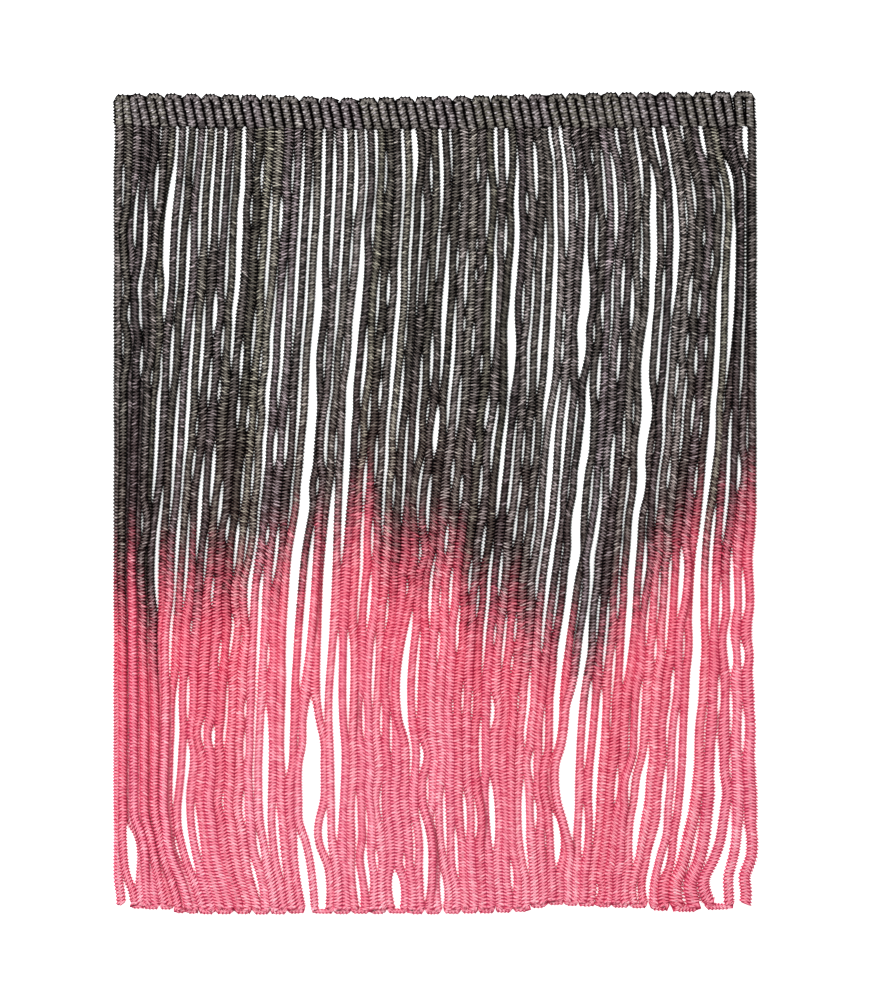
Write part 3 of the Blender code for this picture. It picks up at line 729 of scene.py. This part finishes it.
def knit_along(name, stitch, course, points, slants):
    """Repeat a knitted course along a route, and return the cord it makes.

    Each point of the route has a place and a fullness. The slants give how the
    loops tilt at each distance along it: sideways, and to a point in the middle.
    """
    route = bpy.data.curves.new(name, "CURVE")
    route.dimensions = "3D"
    route.twist_mode = "Z_UP"
    spline = route.splines.new("POLY")
    spline.points.add(len(points) - 1)
    spline.points.foreach_set("co", np.insert(points[:, :3], 3, 1.0, axis=1).ravel())
    spline.points.foreach_set("radius", points[:, 3])
    guide = new_object(name + "_route", route)
    length = np.linalg.norm(np.diff(points[:, :3], axis=0), axis=1).sum()
    cord = new_object(name, stitch.data.copy())
    select_only((cord,))
    repeat = cord.modifiers.new("courses", "ARRAY")
    repeat.fit_type = "FIXED_COUNT"
    repeat.count = int(length / course)
    repeat.use_relative_offset = False
    repeat.use_constant_offset = True
    repeat.constant_offset_displace = (course, 0.0, 0.0)
    bpy.ops.object.modifier_apply(modifier=repeat.name)
    places = vertex_places(cord)
    sideways, pointed = slants(places[:, 0])
    places[:, 0] += sideways * places[:, 1] + pointed * np.abs(places[:, 1])
    places[:, 0] = np.clip(places[:, 0], 0.0, length)
    set_places(cord, places)
    follow = cord.modifiers.new("along the route", "CURVE")
    follow.object = guide
    follow.deform_axis = "POS_X"
    bpy.ops.object.modifier_apply(modifier=follow.name)
    bpy.data.objects.remove(guide)
    places = vertex_places(cord)
    places[:, 2] = np.maximum(places[:, 2], 0.0)
    set_places(cord, places)
    return cord


def put_in_frame(places):
    """Turn across, minus down and height into the frame's own places."""
    return places + np.array((-WIDTH / 2.0, MIDDLE_DOWN, 0.0, 0.0))


def leg_route(lay, leg, start, end):
    """Return the points of one leg between two levels, in the frame."""
    downs = np.linspace(start, end, round((end - start) / LEVEL_STEP))
    middles = np.interp(downs, lay.levels, lay.middles[:, leg])
    fullness = np.interp(downs, lay.levels, lay.widths[:, leg]) / LEG_WIDTH
    heights = np.interp(downs, lay.levels, lay.lifts[:, leg])
    heights += LEG_THICKNESS / 2.0 * fullness
    return np.column_stack((middles, -downs, heights, fullness))


def squared_turn(squareness):
    """Return the places of a half turn with full shoulders, -1 to 1 across and 0 to 1 deep."""
    angles = np.linspace(0.0, math.pi, TURN_STEPS + 2)[1:-1]
    across = -np.sign(np.cos(angles)) * np.abs(np.cos(angles)) ** (2.0 / squareness)
    return across, np.sin(angles) ** (2.0 / squareness)


def turn_between(left, right, depth):
    """Return the points of the half turn that joins two legs, drawn in as it bends."""
    across, deep = squared_turn(TURN_SQUARENESS)
    drawn_in = (1.0 - WIDTH_IN_TURN) * deep
    spread = drawn_in * LEG_WIDTH + 2.0 * TURN_SPREAD * deep
    across = across * (1.0 + spread / (right[0] - left[0]))
    turn = left + (1.0 + across[:, None]) / 2.0 * (right - left)
    turn[:, 1] -= depth * deep
    turn[:, 3] *= 1.0 - drawn_in
    return turn


def pair_route(lay, first, chance):
    """Return the route down one leg, round its end and up the next leg.

    The legs at the two cut ends of the trim have no partner.
    """
    legs = [leg for leg in (first, first + 1) if 0 <= leg < LEGS]
    hem_middle = np.mean([lay.middles[-1, leg] for leg in legs])
    hem = along(HEM, "down", hem_middle) - HEM_UNEVENNESS * chance.random()
    roots = [
        along(HEADING_EDGES, "bottom", lay.middles[0, leg]) - ROOT_UNDER_HEADING for leg in legs
    ]
    if len(legs) == 1:
        return put_in_frame(leg_route(lay, legs[0], roots[0], hem)), legs
    span = np.interp(hem, lay.levels, lay.middles[:, legs[1]] - lay.middles[:, legs[0]])
    depth = min(span / 2.0, TURN_DEPTH)
    turning = hem + HEM_ALLOWANCE - WIDTH_IN_TURN * LEG_WIDTH / 2.0 - depth
    down = leg_route(lay, legs[0], roots[0], turning)
    up = leg_route(lay, legs[1], roots[1], turning)[::-1]
    route = np.vstack((down, turn_between(down[-1], up[0], depth), up))
    return put_in_frame(route), legs


def leg_slants(chance):
    """Return how the loops of a leg tilt as the cord slowly rolls over."""
    phases = [chance.uniform(0.0, math.tau) for _ in range(3)]

    def slants(travelled):
        roll = phases[0] + waves(ROLLING_WAVES, travelled, phases[1:])
        return LOOP_SLANT * np.sin(roll), LOOP_POINT * np.cos(roll)

    return slants


def add_values(item, name, values):
    """Store one number for each point of a piece, for its material to read."""
    stored = item.data.attributes.new(name, "FLOAT", "POINT")
    stored.data.foreach_set("value", np.asarray(values, dtype=np.float32))


def dye_depth(below_line, speckle):
    """Return how much coral dye each point took, from 0 to 1."""
    share = np.clip(below_line / DYE_BLEND + 0.5, 0.0, 1.0)
    share = np.clip(share + speckle * share * (1.0 - share), 0.0, 1.0)
    depth = share * share * (3.0 - 2.0 * share)
    cast = DYE_CAST * np.clip(below_line / DYE_CAST_REACH + 1.0, 0.0, 1.0)
    return depth + cast * (1.0 - depth)


def join_pieces(name, parts, material):
    """Join the parts into one piece with its own name and material."""
    select_only(parts)
    if len(parts) > 1:
        bpy.ops.object.join()
    piece = bpy.context.object
    piece.name = name
    piece.data.name = name
    piece.data.materials.clear()
    piece.data.materials.append(material)
    return piece


def dye_the_leg_pair(cord, legs, turn_share, numbers):
    """Store the dye, paling, tint and shade of the legs that one cord makes."""
    places = vertex_places(cord)
    across = places[:, 0] + WIDTH / 2.0
    down = MIDDLE_DOWN - places[:, 1]
    order = np.arange(len(places)) / len(places)
    which = (order > turn_share).astype(int) if len(legs) > 1 else np.zeros(len(places), int)
    line = np.array([numbers.leg_lines[leg] for leg in legs])[which]
    tint = np.array([numbers.leg_tints[leg] for leg in legs])[which]
    bright = np.array([numbers.leg_shades[leg] for leg in legs])[which]
    below_line = down - along(DYE_LINE, "down", across) - line
    speckle = DYE_SPECKLE * part_by_part(cord, numbers.grain)
    shade = MIDDLE_SHADE + bright + LOOP_SHADES * part_by_part(cord, numbers.grain)
    add_values(cord, "dye", dye_depth(below_line, speckle))
    paling = along(PALING, "share", across, 1.0) * np.clip(below_line / PALING_LENGTH, 0.0, 1.0)
    add_values(cord, "paling", paling)
    add_values(cord, "tint", tint)
    add_values(cord, "shade", np.clip(shade, 0.0, 1.0))


def part_by_part(cord, grain):
    """Draw one number for each loop and heart of a cord, spread over its points."""
    courses = len(cord.data.vertices) // sum(POINTS_OF_PARTS)
    drawn = grain.normal(0.0, 1.0, courses * len(POINTS_OF_PARTS))
    return drawn.repeat(POINTS_OF_PARTS * courses)


LegNumbers = namedtuple("LegNumbers", "leg_lines leg_tints leg_shades grain")


def leg_numbers(lay, chance):
    """Draw what differs from leg to leg: dye line, tint and shade."""
    across = [np.interp(STREAK_LEVEL, lay.levels, lay.middles[:, leg]) for leg in range(LEGS)]
    across = np.array(across)
    lines = [DYE_UNEVENNESS * chance.uniform(-1.0, 1.0) for _ in range(LEGS)]
    for streak in DARK_STREAKS:
        near = np.exp(-0.5 * ((across - streak.across * MM) / STREAK_WIDTH) ** 2)
        lines = lines + near * streak.further * MM
    tints = [chance.uniform(-1.0, 1.0) for _ in range(LEGS)]
    shades = [chance.uniform(-LEG_SHADES, LEG_SHADES) for _ in range(LEGS)]
    return LegNumbers(lines, tints, shades, np.random.default_rng(RANDOM_SEED))


def linear(code):
    """Turn an sRGB hex colour to linear colour with full alpha."""
    parts = [int(code[place:place + 2], 16) / 255.0 for place in (1, 3, 5)]
    values = [p / 12.92 if p <= 0.04045 else ((p + 0.055) / 1.055) ** 2.4 for p in parts]
    return (*values, 1.0)


def node(tree, kind, settings=None, links=None, output=0):
    """Add a node with its settings and with what is linked into its sockets.

    What comes back is its first output, unless another one is asked for.
    """
    made = tree.nodes.new("ShaderNode" + kind)
    for key, value in (settings or {}).items():
        if key == "stops":
            stops = made.color_ramp.elements
            while len(stops) < len(value):
                stops.new(1.0)
            for stop, (place, code) in zip(stops, value):
                stop.position = place
                stop.color = linear(code)
        elif isinstance(key, int) or key in made.inputs:
            made.inputs[key].default_value = value
        else:
            setattr(made, key, value)
    for key, source in (links or {}).items():
        tree.links.new(source, made.inputs[key])
    return made.outputs[output]


def new_material(name):
    """Return a new material with its node tree and its shader."""
    made = bpy.data.materials.new(name)
    made.use_nodes = True
    return made, made.node_tree, made.node_tree.nodes["Principled BSDF"]


def rayon_yarn(name, charcoal, rims):
    """Rayon chainette: viscose yarn, knitted and piece-dyed.

    Its long smooth filaments give a soft sheen along each loop, and the charcoal dye
    runs through maroon to coral where the trim was dipped. Light and shade are painted
    into its colour too: a painted highlight along each loop's crest, and painted shade
    where the loops dive under their neighbours and at the sides of the cord.
    """
    made, tree, shader = new_material(name)
    dye, paling, tint, shade = (
        node(tree, "Attribute", {"attribute_name": value}, output="Fac")
        for value in ("dye", "paling", "tint", "shade")
    )
    unrolled = node(tree, "UVMap", {"uv_map": "UVMap"})
    place = node(tree, "TexCoord", output="Object")
    stretched = node(tree, "Mapping", {"Scale": FILAMENTS}, {"Vector": unrolled})
    filaments = node(tree, "TexNoise", {"Scale": 1.0, "Detail": 2.0}, {"Vector": stretched})
    mottle = node(tree, "TexNoise", {"Scale": 1.0 / MOTTLE_SIZE, "Detail": 1.0}, {"Vector": place})
    grain = node(tree, "Math", {"operation": "ADD"}, {0: filaments, 1: mottle})
    grain = node(
        tree, "MapRange",
        {"From Min": 0.6, "From Max": 1.4, "To Min": -GRAIN_SHADES, "To Max": GRAIN_SHADES},
        {"Value": grain},
    )
    tone = node(tree, "Math", {"operation": "ADD"}, {0: shade, 1: grain})

    # Painted light and shade: each loop is painted lighter along its crest, as a painted highlight, and
    # darker towards its rims and the sides of the cord, which lie deeper, as painted shade where less light
    # would reach
    for rim in rims:
        axis = node(tree, "SeparateXYZ", {}, {"Vector": unrolled}, rim.axis)
        off_middle = node(tree, "Math", {"operation": "SUBTRACT", 1: 0.5}, {0: axis})
        off_middle = node(tree, "Math", {"operation": "ABSOLUTE"}, {0: off_middle})
        rim_shade = node(
            tree, "MapRange",
            {"From Min": rim.open_to, "From Max": rim.deep_from, "To Min": rim.least, "To Max": rim.loss},
            {"Value": off_middle},
        )
        tone = node(tree, "Math", {"operation": "SUBTRACT"}, {0: tone, 1: rim_shade})

    dark, bright, pale = (
        node(tree, "ValToRGB", {"stops": tuple(zip(SHADES, codes))}, {"Fac": tone})
        for codes in (charcoal, CORAL, PALE_CORAL)
    )
    paleness = node(
        tree, "Math", {"operation": "MULTIPLY_ADD", 1: PALING_BY_TINT}, {0: tint, 2: paling},
    )
    bright = node(
        tree, "Mix", {"data_type": "RGBA"},
        {"Factor": paleness, COLOUR_A: bright, COLOUR_B: pale}, MIXED_COLOUR,
    )
    hue = node(tree, "MapRange", {"From Min": -1.0, "From Max": 1.0}, {"Value": tint})
    hue = node(tree, "ValToRGB", {"stops": CASTS}, {"Fac": hue})
    dark = node(
        tree, "Mix", {"data_type": "RGBA", "blend_type": "MULTIPLY", "Factor": 1.0},
        {COLOUR_A: dark, COLOUR_B: hue}, MIXED_COLOUR,
    )
    undyed = node(tree, "Math", {"operation": "SUBTRACT", 0: 1.0}, {1: dye})
    meeting = node(tree, "Math", {"operation": "MULTIPLY"}, {0: dye, 1: undyed})
    # The coral taken follows the tone, so where the dyes meet it deepens the painted shade in the hollows
    # and brightens the painted highlights on the crests
    takes = node(
        tree, "Math", {"operation": "MULTIPLY_ADD", 1: LIT_CREST_TAKES_MORE, 2: SHADED_HOLLOW_TAKES}, {0: tone},
    )
    taken = node(
        tree, "Math", {"operation": "MULTIPLY_ADD", "use_clamp": True},
        {0: takes, 1: meeting, 2: dye},
    )
    dyed = node(
        tree, "Mix", {"data_type": "RGBA"},
        {"Factor": taken, COLOUR_A: dark, COLOUR_B: bright}, MIXED_COLOUR,
    )
    bump = node(
        tree, "Bump", {"Strength": 0.35, "Distance": FILAMENT_HEIGHT}, {"Height": filaments},
    )

    # The lighter a loop's tone, the more it glints. The glint follows the painted shade too, so the hollows
    # painted dark barely glint, as if shade fell on them.
    glint = node(
        tree, "MapRange", {"From Min": 0.2, "From Max": 0.7, "To Min": 0.0, "To Max": 0.5},
        {"Value": tone},
    )
    tree.links.new(dyed, shader.inputs["Base Color"])
    tree.links.new(bump, shader.inputs["Normal"])
    tree.links.new(glint, shader.inputs["Specular IOR Level"])
    shader.inputs["Roughness"].default_value = 0.42
    shader.inputs["IOR"].default_value = 1.5
    shader.inputs["Sheen Weight"].default_value = 0.04
    shader.inputs["Sheen Roughness"].default_value = 0.4
    return made


def sewing_thread():
    """Mercerised cotton thread: tightly twisted, so it glints where it crosses a rib."""
    made, tree, shader = new_material("mercerised cotton sewing thread")
    place = node(tree, "TexCoord", output="Object")
    twist = node(tree, "TexNoise", {"Scale": 1.0 / THREAD_TWIST}, {"Vector": place})
    colour = node(tree, "ValToRGB", {"stops": ((0.3, "#8b8286"), (0.7, "#ddd6da"))}, {"Fac": twist})
    tree.links.new(colour, shader.inputs["Base Color"])
    shader.inputs["Roughness"].default_value = 0.4
    return made


def white_surface():
    """Matt white paper: bright and even, so every gap between the legs reads as white."""
    made, _, shader = new_material("matt white paper")
    shader.inputs["Base Color"].default_value = linear("#f7f7f7")
    shader.inputs["Roughness"].default_value = 0.9
    shader.inputs["Emission Color"].default_value = linear("#ffffff")
    shader.inputs["Emission Strength"].default_value = 0.75
    return made


def leaned(place, down):
    """Return a place in the heading after its ribs are leaned to the left at the top."""
    from_end = np.minimum(place, WIDTH - place) / (UPRIGHT_END_RIBS * PITCH)
    lean = math.tan(RIB_LEAN) * np.minimum(1.0, from_end)
    return place - lean * (along(HEADING_EDGES, "bottom", place) - down)


def rib_pair_route(lines, first):
    """Return the route up one rib of the heading, over its top loop and down the next."""
    left = (lines[first] + lines[first + 1]) / 2.0
    right = (lines[first + 1] + lines[first + 2]) / 2.0
    middle = (left + right) / 2.0
    radius = (right - left) / 2.0
    top = along(HEADING_EDGES, "top", middle)
    bottom = along(HEADING_EDGES, "bottom", middle)
    rise = RIB_TURN_RISE * radius
    turning = top + RIB_WIDTH * (0.5 - RIB_DRAWN_IN / 2.0) + rise
    downs = np.linspace(bottom + RIB_BELOW_EDGE, turning, RIB_STEPS)
    turn_across, turn_rise = squared_turn(RIB_TURN_SQUARENESS)
    spread = RIB_DRAWN_IN * RIB_WIDTH + 2.0 * RIB_TURN_SPREAD
    turn_across = turn_across * (1.0 + turn_rise * spread / (right - left))
    places = np.concatenate((
        np.full(len(downs), left), middle + radius * turn_across, np.full(len(downs), right),
    ))
    downs = np.concatenate((downs, turning - rise * turn_rise, downs[::-1]))
    share = (downs - top) / (bottom - top)
    drawn_in = sum(np.exp(-0.5 * ((share - row) / BINDING_REACH) ** 2) for row in BINDING_SHARES)
    heights = RIB_HEIGHT / 2.0 - BINDING_DIP * drawn_in
    heights -= RIB_FOOT_DIP * np.clip((share - RIB_FOOT_FROM) / (1.0 - RIB_FOOT_FROM), 0.0, 1.0)
    fullness = RIB_FULLNESS - BINDING_SLIMMING * drawn_in
    fullness[RIB_STEPS:-RIB_STEPS] -= RIB_DRAWN_IN * turn_rise
    return put_in_frame(np.column_stack((leaned(places, downs), -downs, heights, fullness)))


def rib_slants(chance):
    """Return how the loops of a rib tilt: evenly all along it, and a little to a point."""
    slant = chance.uniform(-RIB_LOOP_SLANT, RIB_LOOP_SLANT)

    def slants(travelled):
        return np.full_like(travelled, slant), np.full_like(travelled, RIB_LOOP_POINT)

    return slants


def make_heading(lines, chance, yarn):
    """Knit the ribs of the heading in pairs, each pair joined by its loop at the top."""
    stitch = course_of_stitches(
        "rib_course", RIB_COURSE, RIB_WIDTH, RIB_HEIGHT * LOOP_PLUMPNESS, RIB_LOOP_GIRTH, RIB_HEART,
    )
    grain = np.random.default_rng(RANDOM_SEED + 1)
    ribs = []
    for first in range(0, LEGS, 2):
        route = rib_pair_route(lines, first)
        rib = knit_along(f"rib_{first}", stitch, RIB_COURSE, route, rib_slants(chance))
        points = len(rib.data.vertices)
        add_values(rib, "dye", np.zeros(points))
        add_values(rib, "paling", np.zeros(points))
        add_values(rib, "tint", np.full(points, chance.uniform(*RIB_TINTS)))
        shade = MIDDLE_SHADE + LOOP_SHADES * part_by_part(rib, grain)
        add_values(rib, "shade", np.clip(shade, 0.0, 1.0))
        ribs.append(rib)
    bpy.data.objects.remove(stitch)
    heading = join_pieces("heading_ribs", ribs, yarn)
    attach(heading, "root")
    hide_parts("heading")


def binding_stitch():
    """Model one stitch of the binding thread, arched over the side of a rib."""
    stitch = stretched_ball(STITCH_FACETS, "Y", STITCH_SIZE)
    for vert in stitch.data.vertices:
        vert.select = abs(vert.co.x) > STITCH_ENDS_FROM
    bpy.ops.object.mode_set(mode="EDIT")
    bpy.ops.transform.translate(value=(0.0, 0.0, -STITCH_ENDS_DIP))
    bpy.ops.object.mode_set(mode="OBJECT")
    bpy.ops.object.shade_smooth()
    return stitch


def make_binding(lines, chance, thread):
    """Sew the rows of binding stitches across the ribs of the heading."""
    model = binding_stitch()
    stitches = []
    for share in BINDING_SHARES:
        for rib in range(LEGS):
            place = lines[rib] + (STITCH_PLACE + STITCH_PLACE_SPREAD * chance.random()) * PITCH
            top = along(HEADING_EDGES, "top", place)
            bottom = along(HEADING_EDGES, "bottom", place)
            row = share + STITCH_ROW_SPREAD * chance.uniform(-1.0, 1.0)
            down = top + row * (bottom - top)
            stitch = new_object(f"binding_{rib}", model.data.copy())
            select_only((stitch,))
            stitch.location = (
                leaned(place, down) - WIDTH / 2.0,
                MIDDLE_DOWN - down,
                RIB_HEIGHT + STITCH_LIFT,
            )
            turn = math.radians(chance.uniform(-STITCH_TURN, STITCH_TURN))
            stitch.rotation_euler = (0.0, 0.0, turn)
            bpy.ops.object.transform_apply(location=True, rotation=True, scale=False)
            stitches.append(stitch)
    bpy.data.objects.remove(model)
    binding = join_pieces("binding_stitches", stitches, thread)
    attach(binding, "root")


def make_legs(lay, chance, yarn):
    """Knit the legs in pairs, each pair one cord that turns round at its lower end."""
    stitch = course_of_stitches(
        "leg_course", COURSE, LEG_WIDTH, LEG_THICKNESS * LOOP_PLUMPNESS, LOOP_GIRTH, LEG_HEART,
    )
    numbers = leg_numbers(lay, chance)
    cords = []
    for first in range(-1, LEGS, 2):
        route, legs = pair_route(lay, first, chance)
        cord = knit_along(f"legs_{first + 1}", stitch, COURSE, route, leg_slants(chance))
        lengths = np.linalg.norm(np.diff(route[:, :3], axis=0), axis=1)
        lowest = int(np.argmin(route[:, 1]))
        turn_share = lengths[:lowest].sum() / lengths.sum()
        dye_the_leg_pair(cord, legs, turn_share, numbers)
        cords.append(cord)
    bpy.data.objects.remove(stitch)
    in_a_piece = math.ceil(len(cords) / FRINGE_PIECES)
    for number in range(FRINGE_PIECES):
        some = cords[number * in_a_piece:(number + 1) * in_a_piece]
        piece = join_pieces(f"fringe_legs_{number + 1}", some, yarn)
        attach(piece, "root")
        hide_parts("fringe")


def make_camera():
    """Look straight down on the trim."""
    view = bpy.data.cameras.new("camera")
    view.lens = SENSOR_LONG_SIDE * CAMERA_HEIGHT / PICTURE_HEIGHT
    view.sensor_width = SENSOR_LONG_SIDE
    camera = new_object("camera", view)
    camera.location = (0.0, PICTURE_MIDDLE, CAMERA_HEIGHT + LEG_THICKNESS)
    bpy.context.scene.camera = camera


def make_studio():
    """Lay the trim on a white surface under two softboxes."""
    clear_selection()
    low = (0.0, 0.0, -SURFACE_CLEARANCE)
    bpy.ops.mesh.primitive_plane_add(size=SURFACE_SIZE, location=low)
    floor = bpy.context.object
    floor.name = "white_surface"
    floor.data.materials.append(white_surface())
    for box in SOFTBOXES:
        light = bpy.data.lights.new(box.name, "AREA")
        light.shape = "SQUARE"
        light.size = box.size
        light.energy = box.watts
        lamp = new_object(box.name, light)
        lamp.location = box.place
        aim = -np.array(box.place)
        across_ground = math.hypot(aim[0], aim[1])
        lamp.rotation_euler = (
            math.atan2(across_ground, -aim[2]), 0.0, math.atan2(-aim[0], aim[1]),
        )
    sky = bpy.data.worlds.new("studio")
    sky.use_nodes = True
    background = sky.node_tree.nodes["Background"]
    background.inputs["Color"].default_value = linear("#ffffff")
    background.inputs["Strength"].default_value = SKY_STRENGTH
    bpy.context.scene.world = sky
    bpy.context.scene.view_settings.view_transform = "Standard"


def main():
    """Dress the trim and set up its studio."""
    chance = random.Random(RANDOM_SEED)
    make_camera()
    make_studio()
    lay = lay_of_legs(chance)
    lines = line_places(np.array([FLOW[0].down * MM]))[0]
    heading_yarn = rayon_yarn("charcoal rayon chainette", LIGHTER_CHARCOAL, RIB_RIM_SHADING)
    leg_yarn = rayon_yarn("dip-dyed rayon chainette", CHARCOAL, LEG_RIM_SHADING)
    make_heading(lines, chance, heading_yarn)
    make_binding(lines, chance, sewing_thread())
    make_legs(lay, chance, leg_yarn)

    # The solids are hidden by now, so each is deselected by its own name
    for leftover in ("heading", "fringe"):
        bpy.data.objects[leftover].select_set(False)


main()
